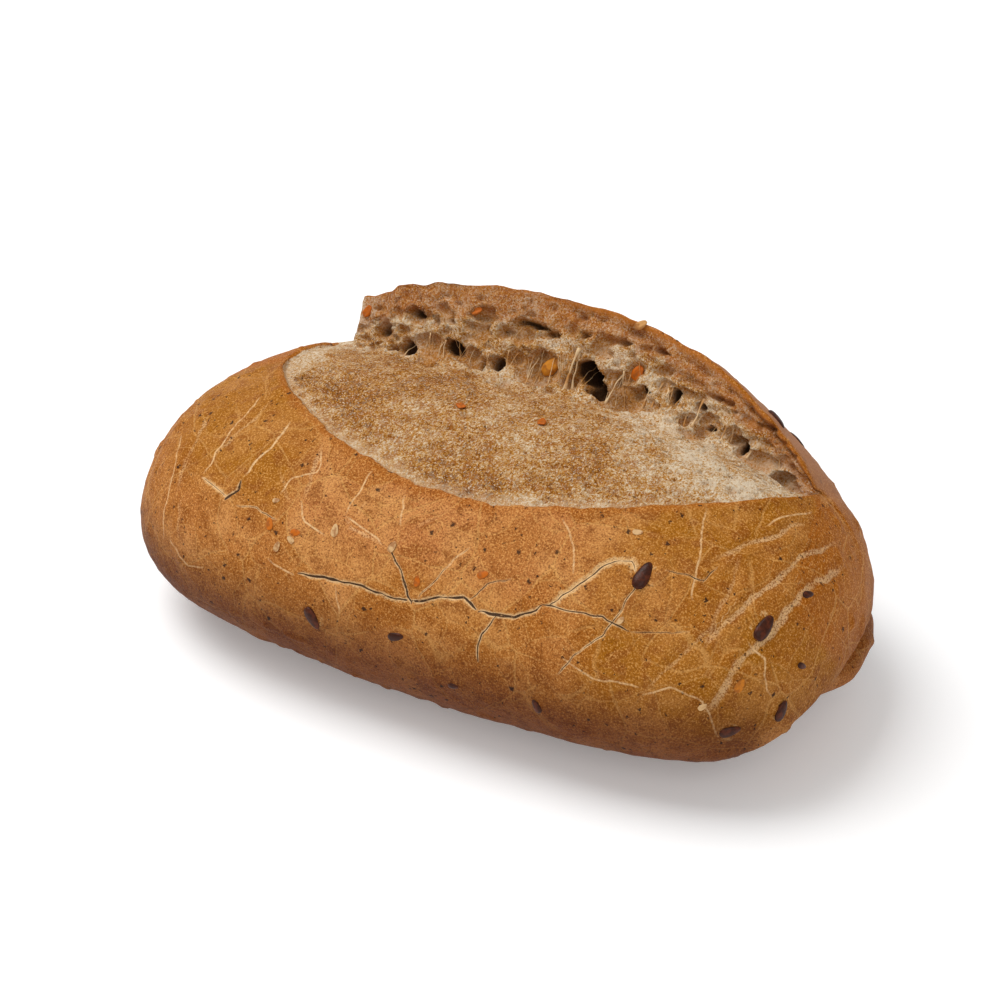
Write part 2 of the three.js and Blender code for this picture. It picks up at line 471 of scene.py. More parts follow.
# %% Stretch marks: their half width and strength, then the points
STRETCH_MARKS = [
    (0.7, 1.1, [(52, -86), (54, -76), (56, -60), (58, -44),
                (59, -30), (60, -16), (61, -2), (62, 17)]),
    (0.5, 1.0, [(50, -62), (53, -42), (56, -24), (57, -8), (59, 5), (60, 22)]),
    (0.5, 0.9, [(46, -30), (50, -16), (53, -6), (55, 8)]),
    (0.45, 0.7, [(-4, -57), (-8, -54), (-13, -53), (-17, -47)]),
    (0.5, 0.7, [(-49, -62), (-50, -49), (-50, -35), (-51, -24), (-52, -12)]),
    (0.45, 0.6, [(-45, -48), (-43, -36), (-41, -25), (-40, -13)]),
    (0.5, 0.7, [(-23, -52), (-23, -42), (-24, -34), (-26, -26)]),
    (0.6, 0.6, [(-23, -52), (-27, -47), (-30, -40), (-27, -36)]),
    (0.4, 0.5, [(41, -88), (43, -79), (47, -66), (51, -50), (51, -34), (50, -18)]),
    (0.4, 0.5, [(-13, -53), (-12, -44), (-10, -38), (-9, -33)]),
    (0.4, 0.4, [(-4, -57), (-1, -48), (2, -42), (3, -37)]),
    (0.4, 0.4, [(-45, -49), (-48, -62), (-46, -76), (-42, -84)]),
    (0.4, 0.4, [(24, -79), (30, -86), (33, -96)]),
    (0.5, 0.5, [(-58, -70), (-59, -40), (-60, -10), (-60, 20), (-58, 50)]),
    (0.5, 0.5, [(-20, 60), (-8, 66), (6, 63), (18, 70), (30, 66), (44, 72)]),
    (0.4, 0.5, [(10, 64), (12, 78), (9, 92)]),
    (0.4, 0.5, [(-38, 58), (-35, 72), (-37, 88)]),
    (0.4, 0.5, [(58, 40), (60, 66), (58, 92)]),
]
LINE_STEP = 0.15
HAIRLINE_PALE = 0.35
CRACK_SHAKE = 0.45
MARK_SHAKE = 0.5
print("stretch marks:", len(STRETCH_MARKS))


# %% Points along a line on the crust
def on_crust(x, degrees):
    """Points of the plain loaf at these places along it and angles from its top."""
    y, z = loaf(x, degrees * DEGREE)
    return np.stack([x, y, stand(z)], -1)


def crust_place(x, degrees):
    """One point of the plain loaf."""
    return on_crust(np.array([float(x)]), np.array([float(degrees)]))[0]


def trace(points, shake, seed):
    """A close row of points on the crust through the given ones, in straight runs shaken by swells
    of 4 and 1.3 mm."""
    given = np.array(points, float)
    steps = np.linalg.norm(np.diff(on_crust(given[:, 0], given[:, 1]), axis=0), axis=1)
    length = np.concatenate([[0], np.cumsum(steps)])
    at = np.linspace(0, length[-1], int(length[-1] / LINE_STEP) + 2)
    line = np.stack([np.interp(at, length, given[:, k]) for k in range(2)], -1)
    flat = on_crust(line[:, 0], line[:, 1])
    to_end = np.minimum(at, length[-1] - at)
    loose = shake * np.minimum(1, to_end / 1.5)
    shake_along = loose * (swell(flat, 4.0, seed) + 0.5 * swell(flat, 1.3, seed + 1))
    shake_round = loose * (swell(flat, 4.0, seed + 2) + 0.5 * swell(flat, 1.3, seed + 3))
    return on_crust(line[:, 0] + shake_along, line[:, 1] + 1.6 * shake_round), to_end


print("points along one crack:", len(trace(CRACKS[1][2][2], CRACK_SHAKE, 0)[0]))


# %% The grid beside a line
def beside(line, reach):
    """For each grid point near the line: which one it is, its distance, the side it lies on and the
    line's nearest point. The side distance is the way from that point, dotted with normal x
    tangent."""
    low, high = line.min(0) - reach, line.max(0) + reach
    near = np.argwhere(np.all((base > low) & (base < high), -1) & (is_crumb < 0.5))
    points = base[near[:, 0], near[:, 1]]
    gaps = np.linalg.norm(points[:, None] - line[None], axis=-1)
    nearest = gaps.argmin(1)
    tangent = np.gradient(line, axis=0)[nearest]
    tangent /= np.maximum(np.linalg.norm(tangent, axis=1, keepdims=True), 1e-9)
    side = np.cross(normal[near[:, 0], near[:, 1]], tangent)
    return near, gaps.min(1), np.sum((points - line[nearest]) * side, -1), nearest


def bell(distance, width):
    """exp(-(distance / width)²)"""
    return np.exp(-((distance / width) ** 2))


# %% Pressing in the cracks
FAR_AWAY = 3.0
TAPER_LENGTH = 1.4
LIP_PLACE, LIP_WIDTH = 0.8, 0.45
GROOVE_DEPTH, GROOVE_WIDTH = 2.2, 0.4
crack_side = np.full(base.shape, FAR_AWAY)
crack_width = np.full(base.shape, -1.0)
crack_gap = np.full(base.shape, FAR_AWAY)
pale = np.zeros(base.shape[:2])
push = np.zeros(base.shape[:2])
for group, (cracks, hairlines) in enumerate(zip(CRACKS, HAIRLINES)):
    lines = cracks + [(0.0, HAIRLINE_PALE, points) for points in hairlines]
    for number, (width, lips, points) in enumerate(lines):
        line, to_end = trace(points, CRACK_SHAKE, 100 * group + 7 * number)
        near, gap, side, nearest = beside(line, FAR_AWAY)
        narrowing = np.minimum(1, to_end / TAPER_LENGTH)[nearest]
        uneven = 0.85 + 0.6 * swell(line, 3.5, 50 + number) + 0.45 * swell(line, 1.2, 60 + number)
        uneven = np.clip(uneven, 0.2, 2)
        thickness = width * (0.4 + 0.6 * narrowing) * uneven[nearest] - 0.3 * (narrowing < 0.1)
        rows, columns = near.T
        closer = gap < crack_gap[rows, columns, group]
        rows, columns = rows[closer], columns[closer]
        gap, side = gap[closer], side[closer]
        crack_gap[rows, columns, group] = gap
        crack_side[rows, columns, group] = side
        crack_width[rows, columns, group] = np.where(gap < 1.1, thickness[closer], -1)
        strength = narrowing[closer]
        raised = (0.06 + 0.5 * width) * bell(gap - LIP_PLACE, LIP_WIDTH)
        groove = GROOVE_DEPTH * width * bell(gap, GROOVE_WIDTH)
        push[rows, columns] += strength * (raised - groove)
        reach = 0.5 + 0.2 * (lips > 1)
        pale[rows, columns] = np.maximum(pale[rows, columns], lips * strength * bell(gap, reach))
print("grid points beside a crack:", int((crack_width > 0).sum()))

# %% Pressing in the stretch marks
FADE_LENGTH = 6
RIDGE_PLACE, RIDGE_WIDTH, RIDGE_HEIGHT = 1.5, 0.8, 0.2
FURROW_WIDTH, FURROW_DEPTH = 0.9, 0.26
marks = np.zeros(base.shape) + (FAR_AWAY, 0, 1)
mark_gap = np.full(base.shape[:2], FAR_AWAY)
for number, (width, strength, points) in enumerate(STRETCH_MARKS):
    line, to_end = trace(points, MARK_SHAKE, 1000 + 7 * number)
    near, gap, side, nearest = beside(line, FAR_AWAY)
    fading = np.minimum(1, to_end / FADE_LENGTH)[nearest]
    broken = np.clip(0.9 + 0.9 * swell(line, 3.0, 80 + number)[nearest], 0, 1)
    rows, columns = near.T
    ridge = RIDGE_HEIGHT * bell(gap - RIDGE_PLACE, RIDGE_WIDTH)
    furrow = FURROW_DEPTH * bell(gap, FURROW_WIDTH)
    push[rows, columns] += strength * fading * (ridge - furrow)
    closer = gap < mark_gap[rows, columns]
    rows, columns = rows[closer], columns[closer]
    mark_gap[rows, columns] = gap[closer]
    strengths = strength * fading * broken * (gap < RIDGE_PLACE)
    marks[rows, columns] = np.stack([side, strengths, width + 0 * gap], -1)[closer]
print("grid points beside a stretch mark:", int((mark_gap < FAR_AWAY).sum()))

# %% Skin lifted round each linseed
for x, degrees, length, turn in LINSEEDS:
    gap = np.linalg.norm(base - crust_place(x, degrees), axis=-1)
    push += 0.3 * bell(gap, 0.6 * length) * (is_crumb < 0.5)
    halo = bell(gap - 0.42 * length, 0.5) * np.clip(0.5 + swell(base, 1.5, 21), 0, 1)
    pale = np.maximum(pale, 0.8 * halo * (length > 3.5))
print("grid points on pale skin:", int((pale > 0.3).sum()))

# %% [markdown]
# ## Bubbles in the crumb
# The torn crumb is a foam. Its bubbles have burst, so each is a round pit with a thin wall to its
# neighbours, and the largest ones lie along the foot of the ear, where the dough tore. Carving them
# one by one with booleans would be slow. Pressing every pit into the same grid, and keeping the
# deepest at each point, leaves the same sharp walls.

# %% Pits: place along the roll, place on the crumb, half size along and across, depth
# The place on the crumb is 0 at the low edge, 1 at the ear's foot and 2 at its crest.
CAVES = [
    (7.5, 1.30, 2.9, 2.0, 8.0),
    (9.6, 1.12, 2.2, 1.4, 4.5),
    (-19.9, 1.25, 2.0, 1.4, 5.0),
    (-29.8, 1.11, 2.0, 1.0, 4.0),
    (-32.5, 1.05, 1.2, 0.8, 2.5),
    (-5.8, 1.66, 3.6, 0.8, 3.2),
    (-2.0, 1.60, 1.4, 0.8, 2.4),
    (-10.3, 1.14, 1.8, 1.1, 3.4),
    (-13.5, 1.08, 1.0, 0.9, 2.6),
    (31.4, 1.20, 1.1, 0.6, 3.0),
    (38.4, 1.20, 0.9, 0.8, 4.0),
    (36.6, 1.24, 1.6, 0.9, 2.2),
    (40.5, 1.10, 2.2, 1.4, 1.2),
    (18.2, 1.32, 0.9, 0.8, 3.2),
    (15.5, 1.50, 1.5, 1.2, 1.6),
    (24.0, 1.38, 1.0, 1.3, 4.0),
    (22.4, 1.52, 0.8, 0.6, 1.2),
    (29.0, 1.44, 0.9, 0.8, 2.8),
    (19.4, 1.83, 2.4, 0.6, 2.2),
    (12.3, 1.74, 1.4, 0.8, 2.2),
    (-0.8, 1.61, 1.2, 0.8, 2.2),
    (4.8, 1.70, 1.0, 0.8, 2.0),
    (-29.3, 1.62, 2.2, 1.2, 3.2),
    (-24.9, 1.52, 0.9, 0.9, 1.8),
    (-21.2, 1.54, 1.0, 0.9, 2.2),
    (-14.6, 1.53, 0.9, 1.1, 2.0),
    (-36.0, 1.35, 1.4, 1.1, 2.8),
    (43.5, 1.15, 0.9, 0.5, 1.2),
    (31.5, 1.67, 1.6, 0.6, 1.8),
    (41.3, 1.85, 2.4, 0.5, 1.6),
    (27.2, 0.71, 1.0, 0.5, 1.2),
    (14.5, 1.04, 5.0, 2.8, 2.0),
    (-2.5, 1.18, 4.6, 3.2, 2.0),
    (-24.0, 1.16, 5.0, 2.6, 1.4),
    (41.0, 1.10, 4.0, 1.8, 1.4),
]
print("large pits:", len(CAVES))


# %% Places on the crumb, and pits at random
def crumb_point(x, place):
    """The point of the grid nearest to a place on the crumb, by its row and its column."""
    row = int(np.abs(x_rows[:, 0] - x).argmin())
    strip = np.interp(place, [0, 1, 2], [LOW_EDGE, FOOT, CREST])
    return row, int(round(strip))


def random_pits(count, places, sizes, seed):
    """Pits at random over a band of the crumb, most of them small: sizes follow a fourth power."""
    rng = np.random.default_rng(seed)
    x = rng.uniform(EAR_BREAK + 0.5, CUT_END - 3, count)
    place = rng.uniform(*places, count)
    size = sizes[0] + (sizes[1] - sizes[0]) * rng.uniform(0, 1, count) ** 4
    stretch = rng.uniform(0.8, 1.7, count)
    depth = size * rng.uniform(0.7, 1.5, count)
    return list(zip(x, place, size * stretch, size / stretch**0.5, depth))


# %% Pressing the pits in
def press(pits, points):
    """How deep the pits go at each grid point: the deepest of depth x √(1 - distance²), distance in
    half sizes."""
    deep = np.zeros(points.shape[:2])
    for x, place, half_along, half_across, depth in pits:
        row, middle = crumb_point(x, place)
        centre = points[row, middle]
        rows = np.abs(x_rows[:, 0] - x) < half_along + 3
        block = points[rows, LOW_EDGE:CREST] - centre
        round_it = (block[..., 1] ** 2 + block[..., 2] ** 2) / half_across**2
        apart = (block[..., 0] / half_along) ** 2 + round_it
        pit = depth * np.sqrt(np.clip(1 - apart, 0, 1))
        deep[rows, LOW_EDGE:CREST] = np.maximum(deep[rows, LOW_EDGE:CREST], pit)
    return deep


ragged = warp(warp(base, 2.4, 0.55, 300), 0.9, 0.25, 310)
wall_pits = random_pits(330, (0.85, 1.72), (0.5, 1.7), 1)
top_pits = random_pits(60, (1.7, 1.93), (0.4, 0.9), 4)
slope_pits = random_pits(200, (0.04, 0.85), (0.45, 0.85), 2)
pits = CAVES + wall_pits + top_pits + slope_pits
deep = press(pits, ragged) * share
place = np.interp(np.arange(COLUMNS), [LOW_EDGE, FOOT, CREST], [0, 1, 2])[None, :] + 0 * x_rows
print(f"{len(pits)} pits, the deepest {deep.max():.1f} mm")

# %% [markdown]
# ## The finished surface
# Everything that moves the surface is added up as one push along the normal: broad swellings, the
# crust's fine wrinkles, the lips and grooves of the cracks, the rim of the cut, the crumb's own
# roughness and its pits.

# %% Pushes along the normal, in millimetres
SPLIT_PLACE = 1.88
EDGE_NOISE = 0.32
CREST_DIP = 1.1
on_crust_only = 1 - is_crumb
swellings = 0.55 * swell(base, 26.0, 11) + 0.3 * swell(base, 11.0, 12) + 0.13 * swell(base, 5.0, 13)
wrinkles = 0.08 * swell(base, 2.2, 14) + 0.045 * swell(base, 1.1, 15)
wrinkles = wrinkles + 0.5 * np.maximum(swell(base, 5.0, 22) - 0.35, 0)
wrinkles = wrinkles + 0.8 * np.maximum(swell(base, 2.4, 23) - 0.5, 0)
lip = 0.35 * bell(column - LOW_EDGE + 2.0, 3.0) * share * (column < LOW_EDGE)
rough = 0.35 * swell(base, 4.5, 16) + 0.28 * swell(base, 2.0, 17) + 0.24 * swell(base, 1.0, 18)
rougher = 0.5 + 0.7 * ramp(0.8, 1.2, place) * ramp(2.0, 1.8, place)
crumb_push = is_crumb * rough * rougher * ramp(0, 0.06, place)
split_lip = ramp(-12, 12, x_rows) * ramp(60, 50, x_rows)
split_lip = split_lip * np.clip(0.7 + 1.1 * swell(base, 3.5, 20), 0, 1.6)
crumb_push = crumb_push - 1.1 * split_lip * bell(place - SPLIT_PLACE, 0.045) * (place < 2)
total = off_table * (swellings * on_crust_only + 0.4 * swellings * is_crumb + tuck)
total = total + off_table * on_crust_only * (wrinkles + push + lip) + crumb_push - deep
print(f"pushes from {total.min():.1f} to {total.max():.1f} mm")

# %% The surface itself
crest_ripple = EDGE_NOISE * swell(np.stack([x_rows, 0 * x_rows, 0 * x_rows], -1), 2.6, 19)
ripple = crest_ripple * within * bell(column - CREST, 6)
surface = base + normal * total[..., None]
dip = ramp(12, 24, x_rows) * ramp(58, 40, x_rows)
dip = dip * ramp(FOOT + 10, CREST, column) * ramp(CREST + 40, CREST, column)
surface[..., 2] = np.maximum(surface[..., 2] + ripple - CREST_DIP * dip, 0)
flat = base[..., 2] < 1e-6
surface[flat] = base[flat]
flat_list = surface.reshape(-1, 3)
print("surface box in mm:", flat_list.min(0).round(1), flat_list.max(0).round(1))


# %% Meshes from grids
def grid_faces(rows, columns):
    """Four corners for each face of a grid whose points are counted row by row; the last column
    joins the first."""
    r, c = np.meshgrid(np.arange(rows - 1), np.arange(columns), indexing="ij")
    here = (r * columns + c).ravel()
    after = (r * columns + (c + 1) % columns).ravel()
    return np.stack([here, here + columns, after + columns, after], 1)


def closed_tube(rows, columns):
    """Faces of a grid that closes round, with a fan of triangles to a point at each end; faces look
    outwards."""
    ring = np.arange(columns)
    after = (ring + 1) % columns
    last = (rows - 1) * columns
    start_fan = np.stack([np.full(columns, rows * columns), ring, after], 1)
    end_fan = np.stack([np.full(columns, rows * columns + 1), last + after, last + ring], 1)
    return grid_faces(rows, columns), np.concatenate([start_fan, end_fan])


print("faces of a small tube:", [len(faces) for faces in closed_tube(3, 4)])


# %% A mesh from whole arrays
def make_piece(name, points, quads, triangles):
    """A smooth-shaded mesh object at the origin, from points in millimetres and whole arrays of
    corners."""
    mesh = bpy.data.meshes.new(name)
    corners = np.concatenate([quads.ravel(), triangles.ravel()]).astype(np.int32)
    sizes = np.concatenate([np.full(len(quads), 4), np.full(len(triangles), 3)])
    mesh.vertices.add(len(points))
    mesh.vertices.foreach_set("co", (points * MM).astype(np.float32).ravel())
    mesh.loops.add(len(corners))
    mesh.loops.foreach_set("vertex_index", corners)
    mesh.polygons.add(len(sizes))
    starts = np.concatenate([[0], np.cumsum(sizes)[:-1]]).astype(np.int32)
    mesh.polygons.foreach_set("loop_start", starts)
    mesh.polygons.foreach_set("use_smooth", np.ones(len(sizes), bool))
    mesh.update(calc_edges=True)
    piece = bpy.data.objects.new(name, mesh)
    bpy.context.scene.collection.objects.link(piece)
    return piece


# %% Values on points, and the roll
def remember(piece, name, values):
    """Stores one number or three for each point of the piece's mesh, for a material to read by
    name."""
    kind, key = ("FLOAT", "value") if values.ndim == 1 else ("FLOAT_VECTOR", "vector")
    layer = piece.data.attributes.new(name, kind, "POINT")
    layer.data.foreach_set(key, values.astype(np.float32).ravel())


def with_poles(values):
    """Grid values as a flat list, with the mean of the first row and of the last row added for the
    two poles."""
    flat_values = values.reshape((ROWS * COLUMNS,) + values.shape[2:])
    return np.concatenate([flat_values, values[:1].mean(1), values[-1:].mean(1)])


points = with_poles(surface)
points[-2] = [-HALF_LENGTH, bow(HALF_LENGTH), WIDEST_Z]
points[-1] = [HALF_LENGTH, bow(HALF_LENGTH), WIDEST_Z]
roll = make_piece("baked_roll", points, *closed_tube(ROWS, COLUMNS))
print("triangles:", 2 * ROWS * COLUMNS)

# %% [markdown]
# ## What the material needs to know
# A material can't tell crust from crumb by itself. The grid knows, so it stores a few numbers at
# every point: how far into the crumb it lies, how deep in a pit it sits, how pale, golden or
# toasted it is, and its distance to each crack and stretch mark.

# %% Values kept on the roll's points
steps = np.linalg.norm(np.diff(surface, axis=1, prepend=surface[:, -1:]), axis=-1)
walked = np.cumsum(steps, axis=1)
from_edge = walked - walked[:, LOW_EDGE : LOW_EDGE + 1]
from_crest = walked - walked[:, CREST : CREST + 1]
faces_back = ramp(0.35, 0.6, -outward(surface)[..., 0])
broken_face = faces_back * bell(x_rows - EAR_BREAK, 2.2) * (column >= FOOT)
broken_face = broken_face * ramp(64, 58, np.degrees(np.arctan2(across, up - WIDEST_Z)))
from_scar = np.hypot((base[..., 0] + 44.5) / 3.6, (base[..., 1] - 20.5) / 4.2)
scar = ramp(1.25, 0.75, from_scar + 0.35 * swell(base, 3, 30))
scar = scar * (column >= CREST) * (x_rows < EAR_BREAK + 1)
crumb_mask = np.clip(np.maximum(is_crumb, np.maximum(broken_face, scar)), 0, 1)
beside_edge = (column > LOW_EDGE - 12) & (column < LOW_EDGE + 8)
soft_edge = is_crumb[:, LOW_EDGE + 8 : LOW_EDGE + 9] * ramp(-1.0, 1.2, from_edge)
crumb_mask = np.where(beside_edge, soft_edge, crumb_mask)
print("crumb share of the points:", round(float(crumb_mask.mean()), 3))

# %% How brown the crumb and how golden the crust
browned = ramp(-47, -38, x_rows) * ramp(0, 20, 52 - 28 * place - x_rows)
browned = browned * (0.4 + 0.6 * ramp(0.0, 0.12, place)) * ramp(1.12, 0.75, place)
upper_face = ramp(1.4, 1.72, place) * (place < 2.01) * ramp(-43, -36, x_rows)
patches = 0.45 * swell(base, 7.0, 31) + 0.3 * swell(base, 2.5, 32)
drawn = 0.5 * ramp(0.95, 1.1, place) * ramp(1.6, 1.4, place) * ramp(34, 14, x_rows)
patches = patches * ramp(0.05, 0.3, browned)
browned = np.maximum(browned, np.maximum(0.75 * upper_face, drawn))
browned = np.clip(browned + patches, 0, 1)
high = base[..., 2]
golden = np.maximum(1.3 * ramp(-19, -29, x_rows) * ramp(24, 38, high), ramp(22, 38, x_rows))
golden = golden * ramp(9, 22, high)
golden = np.maximum(golden, 0.55 * ramp(36, 30, high) * ramp(12, 20, high))
golden = np.clip(golden + 0.4 * swell(base, 14.0, 33) * ramp(5, 15, high), 0, 1)
print("mean browning and gold:", round(float(browned.mean()), 3), round(float(golden.mean()), 3))

# %% Storing the values
kept_values = {
    "cut": np.stack([crumb_mask, from_edge, from_crest], -1),
    "look": np.stack([deep / 3, browned, pale], -1),
    "golden": golden,
    "stretch": marks,
    "crack_side": crack_side,
    "crack_width": crack_width,
}
for name, values in kept_values.items():
    remember(roll, name, with_poles(values))
print("values kept:", ", ".join(kept_values))

# %% [markdown]
# ## Shader maths as Python
# A material is a web of nodes, and long sums are hard to read there. One small class wraps a node's
# output, so that `1 - mask` adds the Math node itself, and one method makes any other node from its
# type, settings and inputs.


# %% A socket that does arithmetic
class Finish:
    """An output socket. Arithmetic on it adds Math nodes, and make() adds any other node."""

    def __init__(self, tree, socket=None):
        self.tree = tree
        self.socket = socket

    def make(self, kind, inputs, settings=None, output=0):
        """Adds a node of this type: the settings first, then values or links for its sockets by
        name or number."""
        node = self.tree.nodes.new("ShaderNode" + kind)
        for name, value in (settings or {}).items():
            if name == "stops":
                for element, (position, colour) in zip(ramp_elements(node, len(value)), value):
                    element.position, element.color = position, colour
            else:
                setattr(node, name, value)
        for name, value in inputs.items():
            if isinstance(value, Finish):
                self.tree.links.new(value.socket, node.inputs[name])
            else:
                node.inputs[name].default_value = value
        return Finish(self.tree, node.outputs[output] if node.outputs else None)

    def maths(self, operation, *values):
        """A Math node with this operation on the values."""
        return self.make("Math", dict(enumerate(values)), {"operation": operation})

    def __add__(self, other):
        return self.maths("ADD", self, other)

    def __radd__(self, other):
        return self.maths("ADD", other, self)

    def __sub__(self, other):
        return self.maths("SUBTRACT", self, other)

    def __rsub__(self, other):
        return self.maths("SUBTRACT", other, self)

    def __mul__(self, other):
        return self.maths("MULTIPLY", self, other)

    def __rmul__(self, other):
        return self.maths("MULTIPLY", other, self)

    def __truediv__(self, other):
        return self.maths("DIVIDE", self, other)

    def __abs__(self):
        return self.maths("ABSOLUTE", self)

    def larger(self, other):
        return self.maths("MAXIMUM", self, other)

    def vector_maths(self, operation, other):
        """This vector with another added or multiplied on, or scaled by a number."""
        socket = "Scale" if operation == "SCALE" else 1
        return self.make("VectorMath", {0: self, socket: other}, {"operation": operation})

    def between(self, low, high):
        """0 at low, 1 at high and smooth between them. Low may be the greater."""
        if low > high:
            return 1 - self.between(high, low)
        inputs = {"Value": self, "From Min": low, "From Max": high}
        return self.make("MapRange", inputs, {"interpolation_type": "SMOOTHSTEP"})

    def mix(self, first, second, amount, kind="MIX"):
        """The first colour with the second one laid over it by the amount."""
        settings = {"data_type": "RGBA", "blend_type": kind}
        return self.make("Mix", {0: amount, 6: first, 7: second}, settings, 2)

    def covered(self, layers):
        """This colour under layers of others, each with its red, green and blue and its amount."""
        colour = self
        for red_green_blue, amount in layers:
            colour = self.mix(colour, shade(*red_green_blue), amount)
        return colour

    def parts(self):
        """The three numbers of a vector."""
        node = self.make("SeparateXYZ", {"Vector": self}).socket.node
        return [Finish(self.tree, output) for output in node.outputs]

    def grains(self, size, detail=2.0, rough=0.5):
        """Noise from 0 to 1 with swellings of this size in millimetres."""
        inputs = {"Vector": self, "Scale": 1 / size, "Detail": detail, "Roughness": rough}
        return self.make("TexNoise", inputs)

    def stirred(self, scale, detail, amount):
        """This vector moved by the three numbers of a noise, times the amount."""
        inputs = {"Vector": self, "Scale": scale, "Detail": detail}
        noise = self.make("TexNoise", inputs, output=1)
        return self.vector_maths("ADD", noise.vector_maths("SCALE", amount))

    def cells(self, size):
        """Cells of this size: the distance from each one's middle, and a random number for each."""
        distance = self.make("TexVoronoi", {"Vector": self, "Scale": 1 / size})
        colour = Finish(self.tree, distance.socket.node.outputs["Color"])
        return distance, colour.parts()[0]


# %% Ramps and colours
def ramp_elements(node, count):
    """The stops of a new ramp node, with as many added as are asked for."""
    elements = node.color_ramp.elements
    while len(elements) < count:
        elements.new(1.0)
    return elements


def shade(red, green, blue):
    """A colour of 0 to 255, turned into the light that a material works with."""
    value = np.array([red, green, blue]) / 255
    light = np.where(value > 0.04, ((value + 0.055) / 1.055) ** 2.4, value / 12.92)
    return (*light.tolist(), 1.0)


print("a warm brown as light:", np.round(shade(184, 114, 58), 3))


# %% A new material
def new_finish(name):
    """An empty material: its wrapped tree, its place on the piece in millimetres, and a function
    that closes it."""
    material = bpy.data.materials.new(name)
    material.use_nodes = True
    tree = material.node_tree
    tree.nodes.clear()
    start = Finish(tree)
    spot = start.make("TexCoord", {}, output=3).vector_maths("SCALE", 1 / MM)

    def close(**inputs):
        """The shader, from inputs named with _ for spaces, and the material's output."""
        named = {name.replace("_", " "): value for name, value in inputs.items()}
        shader = start.make("BsdfPrincipled", named)
        start.make("OutputMaterial", {"Surface": shader})
        return material

    return start, spot, close


def relief(height):
    """A Bump node that reads a height in millimetres."""
    return height.make("Bump", {"Height": height, "Distance": MM, "Strength": 1.0})


# %% [markdown]
# ## The finish of crust and crumb
# The crust is caramel brown with golden and pinkish patches. Towards the tray it is darker and
# redder, partly from the bake and partly as painted shade.
# Fine bran makes dark specks in it. The crumb is cream, and its raised tips are toasted. Both are
# built from noise at several sizes on the roll's own coordinates, in millimetres, and the stored
# values say where each belongs. Each colour is a stack of thin layers, like washes of paint, so one
# layer can be changed without touching the rest.

# %% What the points say, and noise at four sizes
start, spot, close = new_finish("crust_and_crumb")


def kept(name, output=1):
    """The vector, or with output 2 the number, that the piece's points keep under this name."""
    return start.make("Attribute", {}, {"attribute_name": name}, output)


crumb, from_edge_mm, from_crest_mm = kept("cut").parts()
pit, toasted, pallor = kept("look").parts()
sides, widths = kept("crack_side").parts(), kept("crack_width").parts()
gold = kept("golden", 2)
mark_side, mark_strength, mark_width = kept("stretch").parts()
along_mm, _, height_mm = spot.parts()
broad, middle = spot.grains(8, 3), spot.grains(2.6, 3)
fine, finest = spot.grains(0.75, 3, 0.75), spot.grains(0.3, 2, 0.75)
print("values and noises read:", len(start.tree.nodes), "nodes")


# %% Specks of bran
def specks(size, radius, chance, offset):
    """Dark dots: cells of this size, of which a share have a dot of about this radius in the
    middle."""
    moved = spot.vector_maths("ADD", (offset, 0, 0)).stirred(2.2, 1, 1.0)
    distance, number = moved.cells(size)
    dot = distance.between(radius / size * 1.3, radius / size * 0.7)
    return dot * number.between(1 - chance, 1 - chance + 0.01)


# %% Stretched plates of skin
def plates(size, thickness):
    """Thin lines between cells of this size, bent by noise and broken off here and there, and each
    cell's tone."""
    moved = spot.stirred(2.2 / size, 0.5, 0.2 * size)
    to_edge = {"feature": "DISTANCE_TO_EDGE"}
    edge = start.make("TexVoronoi", {"Vector": moved, "Scale": 1 / size}, to_edge)
    line = edge.between(thickness / size, 0.3 * thickness / size)
    return line * broad.between(0.34, 0.48), moved.cells(size)[1]


hair, plate_tone = plates(17.0, 0.24)
small_hair, small_tone = plates(9.0, 0.18)
hair = hair.larger(small_hair * 0.7) * (1 - crumb)
plate_tone = plate_tone * 0.55 + small_tone * 0.45

# %% Marks, dust and bran on the crust
dust = fine.between(0.42, 0.6)
mark = (mark_width * 1.3 - abs(mark_side)) / mark_width + (middle - 0.5) * 2.0
mark = mark.between(0, 1) * mark_strength * finest.between(0.3, 0.62)
bran = specks(1.5, 0.2, 0.6, 0).larger(specks(3.1, 0.38, 0.45, 40))

# %% Cracks and their lips, drawn from the kept distances
crack, lips = None, None
for side, width in zip(sides, widths):
    line = (abs(side) - width).between(0.06, -0.06) * width.between(0.01, 0.05)
    lip = (abs(side) - width).between(0.22, 0.08) * width.between(-0.3, -0.1)
    crack = line if crack is None else crack.larger(line)
    lips = lip if lips is None else lips.larger(lip)
lips = lips * (0.2 + pallor.between(0.02, 0.5)) * dust.between(-0.6, 0.7)

